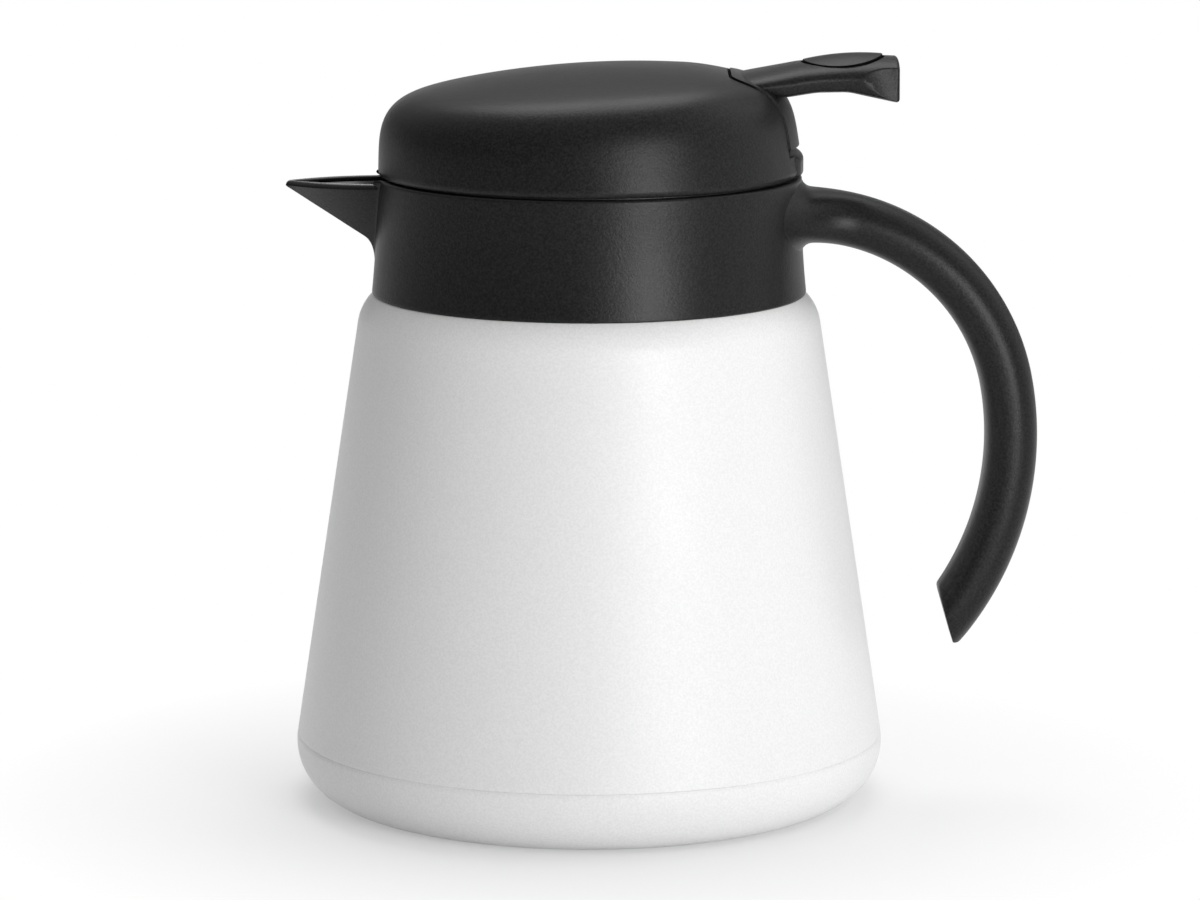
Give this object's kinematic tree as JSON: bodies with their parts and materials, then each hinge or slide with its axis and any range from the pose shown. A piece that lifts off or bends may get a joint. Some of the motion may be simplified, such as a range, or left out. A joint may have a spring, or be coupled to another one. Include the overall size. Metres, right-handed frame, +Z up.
{
  "type": "insulated jug",
  "caption": "Double-walled conical steel jug with a black collar, beak spout, open C handle and a domed lift-off lid whose thumb lever opens a pouring valve.",
  "frame": {"origin": "centre of the foot ring, on the surface that the jug stands on", "axes": "+Z up along the vessel's axis, +X towards the handle and the lever, -X towards the spout"},
  "size_m": [0.1573, 0.1236, 0.1571],
  "materials": {
    "coated_steel": "satin white powder coat",
    "bare_steel": "brushed stainless",
    "getter": "sintered, dull",
    "seal_bead": "solder, dull",
    "silicone": "matte translucent white",
    "black_plastic": "fine matte grain",
    "pad_plastic": "fine matte grain, slightly lighter",
    "grey_plastic": "smooth moulded"
  },
  "bodies": {
    "jug": {"outer_shell": "coated_steel", "bottom_cup": "coated_steel", "inner_liner": "bare_steel", "getter": "getter", "seal_bead": "seal_bead", "neck_gasket": "silicone", "collar": "black_plastic"},
    "lid": {"lid_dome": "black_plastic", "lid_base": "grey_plastic", "stopper_gasket": "silicone", "lid_screws": "bare_steel", "pivot_pin": "bare_steel", "stem_seal": "silicone", "valve_spring": "bare_steel"},
    "lever": {"lever": "black_plastic", "thumb_pad": "pad_plastic"},
    "valve": {"valve_stem": "bare_steel", "stem_cap": "grey_plastic", "valve_plug": "grey_plastic", "valve_gasket": "silicone", "gasket_retainer": "grey_plastic"}
  },
  "joints": [
    {"name": "lid_lift", "type": "slide", "parent": "jug", "child": "lid", "axis": [0, 0, 1], "range_m": [0, 0.045]},
    {"name": "lever_press", "type": "hinge", "parent": "lid", "child": "lever", "pos_m": [0.03501, 0, 0.14299], "axis": [0, 1, 0], "range_deg": [0, 9], "stiffness_Nm_per_rad": 0.9, "springref_deg": -8.59},
    {"name": "valve_lift", "type": "slide", "parent": "lid", "child": "valve", "axis": [0, 0, 1], "range_m": [0, 0.0055], "deforming": ["valve_spring"]}
  ],
  "couplings": [
    {"joint": "valve_lift", "follows": "lever_press", "m_per_rad": 0.035}
  ]
}
